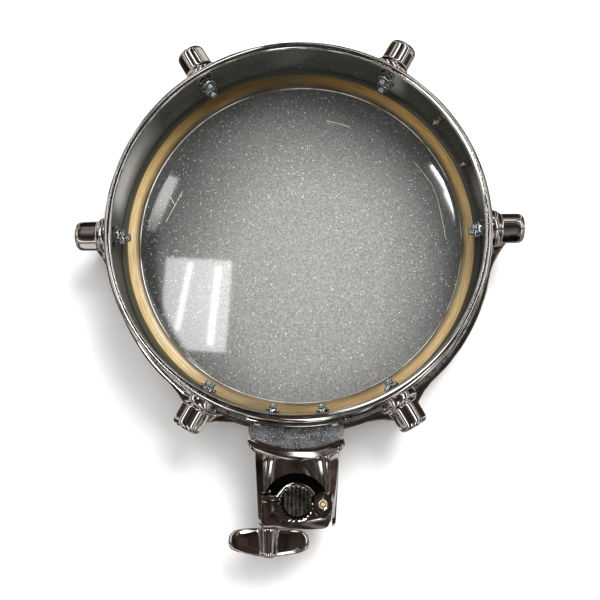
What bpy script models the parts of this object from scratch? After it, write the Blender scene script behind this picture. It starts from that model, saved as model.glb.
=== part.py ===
"""Ten-inch single-headed concert tom lying on its batter hoop, with a clamp bracket for a mounting arm.

Metres, +Z up. The hoop's rim rests on z = 0 and the open end of the steel shell faces up.
Each lug station's local +X runs outwards from the drum's axis, and so does the bracket's.
"""
import math

import bmesh
import bpy
from mathutils import Matrix, Vector

# Driving dimensions
SHELL_R = 0.127
RING_SEGMENTS = 60
LUG_COUNT = 6
GAP = 0.0003

# Batter head and its hoop
HEAD_Z = 0.011
FILM = 0.0003
ROD_R = 0.139
EAR_R = 0.144
HOOP_R = 0.1335
RIM_R = 0.134
EAR_REACH = {0: 1.0, 1: 0.45, 2: 0.08}

# Lugs
LUG_Z = 0.040
LUG_BOLT_OFFSET = 0.0072
LUG_TIP = 0.1496

# Clamp bracket, measured outwards from the drum's axis
BRACKET_ANGLE = math.radians(-90.7)
BRACKET_Z = 0.033
MOUNT_BOLT_ANGLE = math.radians(7.9)
PLATE_SCREW_ANGLE = math.radians(10.9)
GASKET_OUTER = 0.1432
GASKET_BOW = 0.0075
FLANGE_HALF = 0.0312
FLANGE_THICK = 0.0072
POCKET_FLOOR = 0.0230
JAW_TOP = 0.0440
SOCKET_V = 0.1775
SOCKET_R = 0.0100
TOOTH = 0.0006
LINER_R = 0.0090
LINER_TOP = 0.0240
PIN_U = 0.0170
WING_U = -0.0182
WING_Z = 0.034
WING_TIP = 0.2125
WING_REACH = 0.2123

# Badge
BADGE_ANGLE = math.radians(30.5)
BADGE_SCREW_ANGLE = math.radians(8.2)
BADGE_Z = 0.0365

# The bracket leans 0.7 degrees from -Y, so its wing nut reaches WING_REACH along -Y.
DRUM_Y = (WING_REACH - RIM_R) / 2


def clear_scene():
    for old in list(bpy.data.objects):
        bpy.data.objects.remove(old)


def make_material(name, colour, metallic, roughness, alpha=1.0):
    made = bpy.data.materials.new(name)
    made.use_nodes = True
    shader = made.node_tree.nodes["Principled BSDF"]
    shader.inputs["Base Color"].default_value = (*colour, 1.0)
    shader.inputs["Metallic"].default_value = metallic
    shader.inputs["Roughness"].default_value = roughness
    shader.inputs["Alpha"].default_value = alpha
    return made


def make_empty(name, location, angle, parent=None):
    empty = bpy.data.objects.new(name, None)
    bpy.context.scene.collection.objects.link(empty)
    empty.location = location
    empty.rotation_euler = (0, 0, angle)
    empty.parent = parent
    return empty


def finish_mesh(name, bm, colour, parent, location=(0, 0, 0)):
    """Turns a bmesh into a named object whose faces point out."""
    bmesh.ops.remove_doubles(bm, verts=bm.verts, dist=1e-6)
    bmesh.ops.recalc_face_normals(bm, faces=bm.faces)
    mesh = bpy.data.meshes.new(name)
    bm.to_mesh(mesh)
    bm.free()
    return place(name, mesh, colour, parent, location)


def place(name, mesh, colour, parent, location=(0, 0, 0)):
    mesh.shade_smooth()
    mesh.set_sharp_from_angle(angle=math.radians(35))
    made = bpy.data.objects.new(name, mesh)
    bpy.context.scene.collection.objects.link(made)
    made.location = location
    made.parent = parent
    if colour is not None:
        mesh.materials.clear()
        made.data.materials.append(colour)
    return made


def skin(bm, rings, closed_loop=False):
    """Joins rings of points with quads; an open row of rings is capped at both ends."""
    rows = [[bm.verts.new(point) for point in ring] for ring in rings]
    pairs = list(zip(rows, rows[1:]))
    if closed_loop:
        pairs.append((rows[-1], rows[0]))
    for low, high in pairs:
        for i in range(len(low)):
            j = (i + 1) % len(low)
            bm.faces.new((low[i], low[j], high[j], high[i]))
    if not closed_loop:
        bm.faces.new(rows[0])
        bm.faces.new(rows[-1])


def ring_body(name, profile_at, colour, parent):
    """A closed profile of (radius, height) carried round the drum's axis; it may change with the step."""
    bm = bmesh.new()
    rings = []
    for step in range(RING_SEGMENTS):
        angle = math.tau * step / RING_SEGMENTS
        rings.append([(r * math.cos(angle), r * math.sin(angle), z) for r, z in profile_at(step)])
    skin(bm, rings, closed_loop=True)
    return finish_mesh(name, bm, colour, parent)


def turned_rings(sections, sides=12, hex_sections=()):
    """Rings round local +X at (distance, radius); a section listed in hex_sections is a hexagon."""
    rings = []
    for index, (along, radius) in enumerate(sections):
        ring = []
        for side in range(sides):
            flat = math.cos(math.pi / 6) if index in hex_sections and side % 2 else 1.0
            angle = math.tau * side / sides
            ring.append((along, radius * flat * math.cos(angle), radius * flat * math.sin(angle)))
        rings.append(ring)
    return rings


def turned(name, sections, colour, parent, location=(0, 0, 0), sides=12, hex_sections=(), upright=False):
    bm = bmesh.new()
    skin(bm, turned_rings(sections, sides, hex_sections))
    if upright:
        bmesh.ops.rotate(bm, verts=bm.verts, matrix=Matrix.Rotation(-math.pi / 2, 3, "Y"))
    return finish_mesh(name, bm, colour, parent, location)


def tube(name, outer, inner, start, end, colour, parent, location=(0, 0, 0), sides=12, upright=False):
    """A plain tube or washer along local +X, or along +Z when upright."""
    bm = bmesh.new()
    profile = [(start, inner), (start, outer), (end, outer), (end, inner)]
    skin(bm, turned_rings(profile, sides), closed_loop=True)
    if upright:
        bmesh.ops.rotate(bm, verts=bm.verts, matrix=Matrix.Rotation(-math.pi / 2, 3, "Y"))
    return finish_mesh(name, bm, colour, parent, location)


def extruded(name, outline, low, high, colour, parent):
    """A solid with a flat outline of (x, y) points between two heights."""
    bm = bmesh.new()
    skin(bm, [[(x, y, z) for x, y in outline] for z in (low, high)])
    return finish_mesh(name, bm, colour, parent)


def cylinder_between(bm, start, end, radius, sides=12):
    """Adds a closed cylinder to bm, for the cutters."""
    start, end = Vector(start), Vector(end)
    turn = (end - start).to_track_quat("X", "Z").to_matrix().to_4x4()
    rings = turned_rings([(0, radius), ((end - start).length, radius)], sides)
    made = [[Matrix.Translation(start) @ turn @ Vector(point) for point in ring] for ring in rings]
    skin(bm, made)


def make_cutter(name, bm, parent):
    cutter = finish_mesh(name, bm, None, parent)
    cutter.hide_render = True
    cutter.display_type = "WIRE"
    return cutter


def box_cutter(name, low, high, parent):
    bm = bmesh.new()
    corners = [(low[0], low[1]), (high[0], low[1]), (high[0], high[1]), (low[0], high[1])]
    skin(bm, [[(x, y, z) for x, y in corners] for z in (low[2], high[2])])
    return make_cutter(name, bm, parent)


def combine(target, other, operation="DIFFERENCE"):
    boolean = target.modifiers.new(other.name, "BOOLEAN")
    boolean.operation = operation
    boolean.solver = "EXACT"
    boolean.object = other


def evaluated_mesh(source, name):
    """The source's mesh with its modifiers applied, for pieces that are repeated."""
    bpy.context.view_layer.update()
    graph = bpy.context.evaluated_depsgraph_get()
    mesh = bpy.data.meshes.new_from_object(source.evaluated_get(graph))
    mesh.name = name
    return mesh


def radial_point(radius, angle, z):
    return (radius * math.cos(angle), radius * math.sin(angle), z)


def lug_angle(index):
    return math.tau * index / LUG_COUNT


def wall_bolt_places():
    """(angle, height, hole radius) of every fastener that passes through the shell."""
    places = []
    for index in range(LUG_COUNT):
        for side in (-1, 1):
            places.append((lug_angle(index), LUG_Z + side * LUG_BOLT_OFFSET, 0.0027))
    for side in (-1, 1):
        places.append((BRACKET_ANGLE + side * MOUNT_BOLT_ANGLE, BRACKET_Z, 0.0027))
        places.append((BRACKET_ANGLE + side * PLATE_SCREW_ANGLE, 0.0535, 0.0018))
        places.append((BADGE_ANGLE + side * BADGE_SCREW_ANGLE, BADGE_Z, 0.0020))
    return places


def shell_profile():
    """The wall with its inward-turned bearing edges, the open one at the top."""
    top = [(0.1270, 0.0572), (0.1261, 0.0592), (0.1242, 0.0600), (0.1222, 0.0594), (0.1214, 0.0584)]
    under = [(0.1224, 0.0580), (0.1243, 0.0588), (0.1254, 0.0580), (0.1258, 0.0566)]
    foot_in = [(0.1258, 0.0160), (0.1252, 0.0143), (0.1235, 0.0135), (0.1218, 0.0140)]
    foot_out = [(0.1214, 0.0130), (0.1226, 0.0119), (0.1245, 0.0113), (0.1262, 0.0124), (0.1270, 0.0150)]
    return top + under + foot_in + foot_out


def make_shell(drum, steel):
    shell = ring_body("steel_shell", lambda step: shell_profile(), steel, drum)
    bm = bmesh.new()
    for angle, z, radius in wall_bolt_places():
        start = radial_point(SHELL_R - 0.006, angle, z)
        end = radial_point(SHELL_R + 0.006, angle, z)
        cylinder_between(bm, start, end, radius, sides=8)
    combine(shell, make_cutter("cutter_shell_holes", bm, drum))


def make_ring(drum, ply, sealant):
    ring = [(0.1131, HEAD_Z + GAP), (0.1211, HEAD_Z + GAP), (0.1211, 0.0155), (0.1131, 0.0155)]
    ring_body("plywood_ring", lambda step: ring, ply, drum)
    bead = [(0.1214, 0.0144), (0.1235, 0.0139), (0.1247, 0.0146), (0.1253, 0.0162), (0.1214, 0.0157)]
    ring_body("ring_adhesive_bead", lambda step: bead, sealant, drum)


def make_head(drum, film, aluminium):
    """The film's disc and its collar, which climbs outside the bearing edge to the flesh hoop."""
    low = HEAD_Z - FILM
    rows = [(0.1245, low), (0.1266, 0.0113), (0.1276, 0.0135), (0.1276, 0.0143)]
    rows += [(0.1273, 0.0143), (0.1273, 0.0136), (0.1264, 0.0117), (0.1245, HEAD_Z)]
    bm = bmesh.new()
    rings = []
    for radius, z in rows:
        ring = []
        for step in range(RING_SEGMENTS):
            ring.append(radial_point(radius, math.tau * step / RING_SEGMENTS, z))
        rings.append(ring)
    skin(bm, rings)
    finish_mesh("batter_head_film", bm, film, drum)
    flesh = [(0.1276, 0.0147), (0.1305, 0.0147), (0.1305, 0.0190), (0.1276, 0.0190)]
    ring_body("flesh_hoop", lambda step: flesh, aluminium, drum)


def hoop_profile(step):
    """Rim flange at the bottom, step that presses the flesh hoop, and the flange that grows the ears."""
    steps_per_lug = RING_SEGMENTS // LUG_COUNT
    away = min(step % steps_per_lug, -step % steps_per_lug)
    ear = HOOP_R + (EAR_R - HOOP_R) * EAR_REACH.get(away, 0.0)
    rim = [(0.1290, 0.0), (0.1332, 0.0), (RIM_R, 0.0009), (0.1332, 0.0018), (0.1303, 0.0020)]
    wall = [(0.1301, 0.0120), (0.1325, 0.0126), (0.1327, 0.0178), (ear, 0.0180), (ear, 0.0199)]
    inside = [(0.1308, 0.0199), (0.1308, 0.0143), (0.1284, 0.0141), (0.1282, 0.0008)]
    return rim + wall + inside


def make_hoop(drum, chrome):
    hoop = ring_body("batter_hoop", hoop_profile, chrome, drum)
    bm = bmesh.new()
    for index in range(LUG_COUNT):
        start = radial_point(ROD_R, lug_angle(index), 0.0160)
        end = radial_point(ROD_R, lug_angle(index), 0.0220)
        cylinder_between(bm, start, end, 0.0031, sides=10)
    combine(hoop, make_cutter("cutter_ear_holes", bm, drum))


def lug_casting_mesh(workbench):
    """Turret post on a round foot, with a saddle for the shell, a bore for the rod and two bolt holes."""
    sections = [(0.1220, 0.0123), (0.1312, 0.0123), (0.1326, 0.0116), (0.1338, 0.0103)]
    sections += [(0.1470, 0.0098), (0.1487, 0.0084), (LUG_TIP, 0.0052)]
    post = turned("lug_pattern", sections, None, workbench, sides=16)
    bm = bmesh.new()
    cylinder_between(bm, (0, 0, -0.03), (0, 0, 0.03), SHELL_R + 0.0004, sides=120)
    saddle = make_cutter("cutter_saddle", bm, workbench)
    bm = bmesh.new()
    cylinder_between(bm, (ROD_R, 0, -0.012), (ROD_R, 0, 0.0065), 0.0044, sides=12)
    for side in (-1, 1):
        z = side * LUG_BOLT_OFFSET
        cylinder_between(bm, (0.1260, 0, z), (0.1335, 0, z), 0.0026, sides=8)
    bores = make_cutter("cutter_lug_bores", bm, workbench)
    combine(post, saddle)
    combine(post, bores)
    mesh = evaluated_mesh(post, "lug_casting")
    for used in (post, saddle, bores):
        bpy.data.objects.remove(used)
    return mesh


def wall_bolt(name, z, shank_end, parent, zinc):
    """Stud with its nut, spring washer and flat washer on the inside of the shell."""
    sections = [(0.1150, 0.0019), (0.1180, 0.0021), (0.1180, 0.0046), (0.1219, 0.0046)]
    sections += [(0.1219, 0.0054), (0.1250, 0.0054), (0.1250, 0.0021), (shank_end, 0.0021)]
    turned(name, sections, zinc, parent, location=(0, 0, z), hex_sections=(2, 3))


def make_lugs(drum, chrome, steel, zinc, brass):
    casting = lug_casting_mesh(drum)
    for index in range(LUG_COUNT):
        number = index + 1
        station = make_empty(f"lug_station_{number}", (0, 0, 0), lug_angle(index), drum)
        place(f"lug_casting_{number}", casting, None, station, (0, 0, LUG_Z))
        casting.materials.clear()
        casting.materials.append(chrome)
        wall_bolt(f"lug_bolt_upper_{number}", LUG_Z + LUG_BOLT_OFFSET, 0.1330, station, zinc)
        wall_bolt(f"lug_bolt_lower_{number}", LUG_Z - LUG_BOLT_OFFSET, 0.1330, station, zinc)
        at_rod = (ROD_R, 0, 0)
        tube(f"lug_insert_{number}", 0.0040, 0.0029, 0.0315, 0.0460, brass, station, at_rod, 10, True)
        tube(f"rod_washer_{number}", 0.0050, 0.0029, 0.0163, 0.0177, steel, station, at_rod, 10, True)
        rod = [(0.0080, 0.0032), (0.0145, 0.0032), (0.0145, 0.0045), (0.0160, 0.0045)]
        rod += [(0.0160, 0.0025), (0.0455, 0.0025)]
        turned(f"tension_rod_{number}", rod, chrome, station, at_rod, sides=10, upright=True)


def arc_band(name, inner, outer, half_angle, low, high, colour, parent, steps=8):
    """A plate that follows the shell, centred on local +X."""
    outline = []
    for radius, order in ((inner, range(steps + 1)), (outer, range(steps, -1, -1))):
        for step in order:
            angle = half_angle * (2 * step / steps - 1)
            outline.append((radius * math.cos(angle), radius * math.sin(angle)))
    return extruded(name, outline, low, high, colour, parent)


def make_badge(drum, chrome, zinc):
    station = make_empty("badge_station", (0, 0, 0), BADGE_ANGLE, drum)
    half = math.radians(11)
    badge = arc_band("badge_plate", 0.1274, 0.1284, half, BADGE_Z - 0.009, BADGE_Z + 0.009, chrome, station)
    bm = bmesh.new()
    for side in (-1, 1):
        angle = side * BADGE_SCREW_ANGLE
        start = radial_point(0.1260, angle, BADGE_Z)
        cylinder_between(bm, start, radial_point(0.1300, angle, BADGE_Z), 0.0020, sides=8)
        post = make_empty(f"badge_screw_station_{side}", (0, 0, 0), angle, station)
        sections = [(0.1195, 0.0014), (0.1225, 0.0015), (0.1225, 0.0030), (0.1240, 0.0030)]
        sections += [(0.1240, 0.0040), (0.1251, 0.0040), (0.1251, 0.0015), (0.1288, 0.0015)]
        sections += [(0.1288, 0.0032), (0.1300, 0.0022)]
        name = "badge_screw_right" if side < 0 else "badge_screw_left"
        turned(name, sections, zinc, post, (0, 0, BADGE_Z), sides=10)
    combine(badge, make_cutter("cutter_badge_holes", bm, station))


def barrel_ring(along, half_width, half_height, points=24, power=2.6):
    """A rounded-square section of the bracket's body at one distance from the drum's axis."""
    ring = []
    for step in range(points):
        angle = math.tau * step / points
        c, s = math.cos(angle), math.sin(angle)
        y = math.copysign(abs(c) ** (2 / power), c) * half_width
        z = math.copysign(abs(s) ** (2 / power), s) * half_height
        ring.append((along, y, BRACKET_Z + z))
    return ring


def gasket_face(y, offset=0.0):
    """The gasket's bowed outer face: its distance from the drum's axis at one sideways place."""
    return GASKET_OUTER + offset - GASKET_BOW * (y / FLANGE_HALF) ** 2


def bowed_outline(back, front_offset, half_width, steps=10):
    """An outline whose front is the gasket's outer face, moved outwards; back(y) gives its other side."""
    across = [half_width * (2 * step / steps - 1) for step in range(steps + 1)]
    front = [(gasket_face(y, front_offset), y) for y in across]
    return [(back(y), y) for y in reversed(across)] + front


def make_bracket_body(bracket, chrome):
    """Rounded flange on the gasket, and a tapering barrel with a pocket for the clamp."""
    sections = [(0.1400, 0.0277, 0.0200), (0.1520, 0.0272, 0.0198), (0.1860, 0.0242, 0.0180)]
    sections += [(0.1905, 0.0228, 0.0165), (0.1922, 0.0205, 0.0140)]
    bm = bmesh.new()
    skin(bm, [barrel_ring(*section) for section in sections])
    body = finish_mesh("bracket_body", bm, chrome, bracket)
    bm = bmesh.new()
    low, high = BRACKET_Z - 0.0190, BRACKET_Z + 0.0190
    edge = [(FLANGE_THICK - 0.0018, low), (FLANGE_THICK, low + 0.0025)]
    edge += [(FLANGE_THICK, high - 0.0025), (FLANGE_THICK - 0.0018, high)]
    rings = []
    for offset, z in edge:
        outline = bowed_outline(lambda y: gasket_face(y, -0.0010), offset, FLANGE_HALF)
        rings.append([(x, y, z) for x, y in outline])
    skin(bm, rings)
    combine(body, make_cutter("cutter_flange", bm, bracket), "UNION")
    bm = bmesh.new()
    outline = bowed_outline(lambda y: 0.1200, GAP, FLANGE_HALF + 0.004)
    skin(bm, [[(x, y, z) for x, y in outline] for z in (0.0, 0.070)])
    combine(body, make_cutter("cutter_gasket_room", bm, bracket))
    bm = bmesh.new()
    cylinder_between(bm, (0.1800, 0, POCKET_FLOOR), (0.1800, 0, 0.060), 0.0205, sides=36)
    combine(body, make_cutter("cutter_pocket", bm, bracket))
    front = box_cutter("cutter_front", (0.1710, -0.04, POCKET_FLOOR), (0.2000, 0.04, 0.060), bracket)
    combine(body, front)
    bm = bmesh.new()
    cylinder_between(bm, (SOCKET_V, PIN_U, 0.0145), (SOCKET_V, PIN_U, 0.0240), 0.0030, sides=12)
    cylinder_between(bm, (0.1600, WING_U, WING_Z), (0.1720, WING_U, WING_Z), 0.0033, sides=12)
    for side in (-1, 1):
        angle = side * MOUNT_BOLT_ANGLE
        start = radial_point(0.1380, angle, BRACKET_Z)
        cylinder_between(bm, start, radial_point(0.1560, angle, BRACKET_Z), 0.0025, sides=8)
    combine(body, make_cutter("cutter_body_holes", bm, bracket))


def make_mounting(drum, bracket, chrome, rubber, zinc):
    """Curved plate and thick gasket between the shell and the body, with what holds them."""
    plate = arc_band("mount_plate", 0.1274, 0.1292, math.radians(14.5), 0.0215, 0.0570, chrome, bracket)
    outline = bowed_outline(lambda y: math.sqrt(0.1296 ** 2 - y ** 2), 0.0, 0.0305)
    gasket = extruded("bracket_gasket", outline, 0.0212, 0.0500, rubber, bracket)
    bm = bmesh.new()
    for side in (-1, 1):
        angle = side * MOUNT_BOLT_ANGLE
        start = radial_point(0.1240, angle, BRACKET_Z)
        cylinder_between(bm, start, radial_point(0.1510, angle, BRACKET_Z), 0.0027, sides=8)
        angle = side * PLATE_SCREW_ANGLE
        start = radial_point(0.1240, angle, 0.0535)
        cylinder_between(bm, start, radial_point(0.1310, angle, 0.0535), 0.0018, sides=8)
    holes = make_cutter("cutter_mounting_holes", bm, bracket)
    combine(plate, holes)
    combine(gasket, holes)
    for side, word in ((-1, "left"), (1, "right")):
        angle = BRACKET_ANGLE + side * MOUNT_BOLT_ANGLE
        station = make_empty(f"mount_bolt_station_{word}", (0, 0, 0), angle, drum)
        wall_bolt(f"mount_bolt_{word}", BRACKET_Z, 0.1545, station, zinc)
        angle = BRACKET_ANGLE + side * PLATE_SCREW_ANGLE
        station = make_empty(f"plate_screw_station_{word}", (0, 0, 0), angle, drum)
        screw = [(0.1252, 0.0010), (0.1297, 0.0013), (0.1297, 0.0026), (0.1306, 0.0024), (0.1313, 0.0014)]
        turned(f"plate_screw_{word}", screw, zinc, station, (0, 0, 0.0535), sides=10)


def socket_arc(start_deg, end_deg, steps, toothed=True):
    """Points on the arm socket's wall; 0 degrees is along +y and 90 degrees is towards the drum."""
    points = []
    for step in range(steps + 1):
        angle = math.radians(start_deg + (end_deg - start_deg) * step / steps)
        radius = SOCKET_R + (TOOTH if toothed and step % 2 else 0.0)
        points.append((SOCKET_V - radius * math.sin(angle), radius * math.cos(angle)))
    return points


def make_saddle(bracket, black):
    """The fixed, toothed half of the arm socket, with the tab that the wing bolt passes."""
    ring = socket_arc(26, 170, 20)
    back = []
    for step in range(13):
        angle = math.radians(158 - 132 * step / 12)
        back.append((SOCKET_V - 0.0122 * math.sin(angle), 0.0122 * math.cos(angle)))
    tab = [(0.1757, -0.0228), (0.1724, -0.0228)]
    outline = ring + tab + back
    saddle = extruded("clamp_saddle", outline, POCKET_FLOOR + GAP, JAW_TOP, black, bracket)
    bm = bmesh.new()
    cylinder_between(bm, (0.1700, WING_U, WING_Z), (0.1780, WING_U, WING_Z), 0.0034, sides=12)
    combine(saddle, make_cutter("cutter_saddle_hole", bm, bracket))


def make_liner(bracket, black):
    """Round pad at the bottom of the socket, on which the end of the arm stands."""
    bm = bmesh.new()
    skin(bm, turned_rings([(POCKET_FLOOR + GAP, LINER_R), (LINER_TOP, LINER_R)], 32))
    bmesh.ops.rotate(bm, verts=bm.verts, matrix=Matrix.Rotation(-math.pi / 2, 3, "Y"))
    finish_mesh("socket_liner", bm, black, bracket, (SOCKET_V, 0, 0))


def make_jaw(bracket, chrome):
    """The hinged half of the arm socket, turning on the brass pin."""
    hinge = make_empty("jaw_hinge", (SOCKET_V, PIN_U, 0), 0, bracket)
    outline = jaw_outline()
    bm = bmesh.new()
    local = [(x - SOCKET_V, y - PIN_U) for x, y in outline]
    skin(bm, [[(x, y, z) for x, y in local] for z in (POCKET_FLOOR + 0.0005, JAW_TOP)])
    jaw = finish_mesh("clamp_jaw", bm, chrome, hinge)
    bm = bmesh.new()
    cylinder_between(bm, (0, 0, 0.0300), (0, 0, 0.0470), 0.0060, sides=20)
    combine(jaw, make_cutter("cutter_jaw_knuckle", bm, hinge), "UNION")
    bm = bmesh.new()
    cylinder_between(bm, (0, 0, 0.0200), (0, 0, 0.0500), 0.0030, sides=12)
    bolt_y = WING_U - PIN_U
    cylinder_between(bm, (-0.0050, bolt_y, WING_Z), (0.0200, bolt_y, WING_Z), 0.0045, sides=12)
    combine(jaw, make_cutter("cutter_jaw_holes", bm, hinge))
    brass = bpy.data.materials["brass"]
    tube("jaw_hinge_pin", 0.0026, 0.0012, 0.0150, 0.0478, brass, bracket, (SOCKET_V, PIN_U, 0), 12, True)


def jaw_outline():
    """The jaw seen from above: toothed half-hole, knuckle round the pin, and a rounded outer side."""
    hole = socket_arc(175, 365, 28)
    knuckle = []
    for step in range(11):
        angle = math.radians(200 - 200 * step / 10)
        knuckle.append((SOCKET_V - 0.0060 * math.sin(angle), PIN_U + 0.0060 * math.cos(angle)))
    right = [(0.1880, 0.0232), (0.1915, 0.0212), (0.1930, 0.0170), (0.1935, 0.0080), (0.1930, -0.0050)]
    left = [(0.1912, -0.0115), (0.1912, -0.0222), (0.1895, -0.0240), (0.1764, -0.0240)]
    return hole + knuckle + right + left


def make_wing(bracket, chrome, steel):
    """Fixed stud, washer and wing nut that close the jaw; the nut's origin is on its own axis."""
    axis = make_empty("wing_axis", (0, WING_U, WING_Z), 0, bracket)
    turned("wing_bolt", [(0.1606, 0.0030), (0.2075, 0.0030), (0.2080, 0.0025)], steel, axis)
    tube("wing_washer", 0.0055, 0.0034, 0.1915, 0.1929, steel, axis)
    hub = [(0.1933, 0.0062), (0.2030, 0.0056), (0.2105, 0.0052), (WING_TIP, 0.0036)]
    nut = turned("wing_nut", hub, chrome, axis, sides=16)
    half = [(0.1946, 0.0), (0.1946, 0.0160), (0.1960, 0.0225), (0.1990, 0.0258), (0.2045, 0.0262)]
    half += [(0.2072, 0.0240), (0.2090, 0.0190), (0.2112, 0.0070), (0.2118, 0.0)]
    outline = half + [(x, -y) for x, y in reversed(half[1:-1])]
    bm = bmesh.new()
    skin(bm, [[(x, y, z) for x, y in outline] for z in (-0.0017, 0.0017)])
    combine(nut, make_cutter("cutter_wings", bm, axis), "UNION")
    bm = bmesh.new()
    cylinder_between(bm, (0.1900, 0, 0), (0.2100, 0, 0), 0.0033, sides=12)
    combine(nut, make_cutter("cutter_nut_thread", bm, axis))


def main():
    clear_scene()
    chrome = make_material("chrome", (0.55, 0.53, 0.50), 1.0, 0.12)
    steel = make_material("shell_steel", (0.45, 0.45, 0.44), 1.0, 0.22)
    zinc = make_material("zinc", (0.62, 0.66, 0.68), 1.0, 0.35)
    brass = make_material("brass", (0.78, 0.60, 0.30), 1.0, 0.30)
    ply = make_material("plywood", (0.62, 0.46, 0.26), 0.0, 0.35)
    sealant = make_material("black_sealant", (0.03, 0.03, 0.025), 0.0, 0.5)
    film = make_material("film", (0.32, 0.33, 0.33), 0.0, 0.15, alpha=0.9)
    rubber = make_material("black_rubber", (0.05, 0.05, 0.05), 0.0, 0.7)
    black = make_material("black_metal", (0.04, 0.04, 0.04), 0.8, 0.4)
    drum = make_empty("drum_axis", (0, DRUM_Y, 0), 0)
    make_shell(drum, steel)
    make_ring(drum, ply, sealant)
    make_head(drum, film, zinc)
    make_hoop(drum, chrome)
    make_lugs(drum, chrome, steel, zinc, brass)
    make_badge(drum, chrome, zinc)
    bracket = make_empty("bracket_axis", (0, 0, 0), BRACKET_ANGLE, drum)
    make_mounting(drum, bracket, chrome, rubber, zinc)
    make_bracket_body(bracket, chrome)
    make_saddle(bracket, black)
    make_liner(bracket, black)
    make_jaw(bracket, chrome)
    make_wing(bracket, chrome, steel)


main()
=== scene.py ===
"""Looks of the ten-inch concert tom: detailed shells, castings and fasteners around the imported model."""

import math

import bmesh
import bpy
from mathutils import Matrix, Vector


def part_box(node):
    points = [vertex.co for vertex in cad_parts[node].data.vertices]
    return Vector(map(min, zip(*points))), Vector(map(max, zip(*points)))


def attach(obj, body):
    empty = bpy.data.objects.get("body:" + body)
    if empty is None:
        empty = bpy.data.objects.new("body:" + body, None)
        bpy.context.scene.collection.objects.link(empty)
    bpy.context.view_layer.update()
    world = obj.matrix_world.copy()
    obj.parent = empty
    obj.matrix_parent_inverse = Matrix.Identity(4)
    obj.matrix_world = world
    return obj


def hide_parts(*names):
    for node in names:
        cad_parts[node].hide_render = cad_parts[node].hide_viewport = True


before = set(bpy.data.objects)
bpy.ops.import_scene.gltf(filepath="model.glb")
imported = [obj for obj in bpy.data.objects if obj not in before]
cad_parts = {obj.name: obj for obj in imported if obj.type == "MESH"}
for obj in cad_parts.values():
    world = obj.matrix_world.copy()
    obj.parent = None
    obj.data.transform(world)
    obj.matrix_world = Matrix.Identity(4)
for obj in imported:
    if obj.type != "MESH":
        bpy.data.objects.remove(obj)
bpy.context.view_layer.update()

# Places and sizes, in metres from the drum's axis and from the floor
shell_low, shell_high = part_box("steel_shell")
DRUM = Vector(((shell_low.x + shell_high.x) / 2, (shell_low.y + shell_high.y) / 2, 0))
LIP_Z = shell_high.z
SHELL_R = 0.1270
FILM_THICK = 0.0003
HEAD_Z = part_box("batter_head_film")[0].z + FILM_THICK
RING_INNER = 0.1131
RING_OUTER = 0.1211
RING_LOW = 0.01132
RING_TOP = 0.0155
PLY_SPACING = 0.00115
BEAD_INNER = 0.1212
BEAD_WIDTH = 0.0044
LUG_Z = (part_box("lug_casting_1")[0].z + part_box("lug_casting_1")[1].z) / 2
LUG_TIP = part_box("lug_casting_1")[1].x - DRUM.x
LUG_BOLT_OFFSET = 0.0072
ROD_R = 0.139
BADGE_ANGLE = math.radians(30.5)
BADGE_SCREW_ANGLE = math.radians(8.2)
BADGE_Z = 0.0365

# The clamp bracket is drawn as if it pointed along +X, and is then turned to its place
BRACKET_ANGLE = math.radians(-90.7)
BRACKET_Z = 0.033
PLATE_R = 0.1292
MOUNT_BOLT_ANGLE = math.radians(7.9)
PLATE_SCREW_ANGLE = math.radians(10.9)
POCKET_FLOOR = 0.0230
POCKET_BACK = 0.1710
ARCH_V = 0.1796
ARCH_R = 0.0216
JAW_TOP = 0.0440
SOCKET_V = 0.1775
SOCKET_R = 0.0100
PIN_U = 0.0170
WING_U = -0.0182
WING_Z = 0.034

# Tones
BLACK = (0, 0, 0)
HALF = (0.5, 0.5, 0.5)
WHITE = (1, 1, 1)


# -------- node trees and materials

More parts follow.
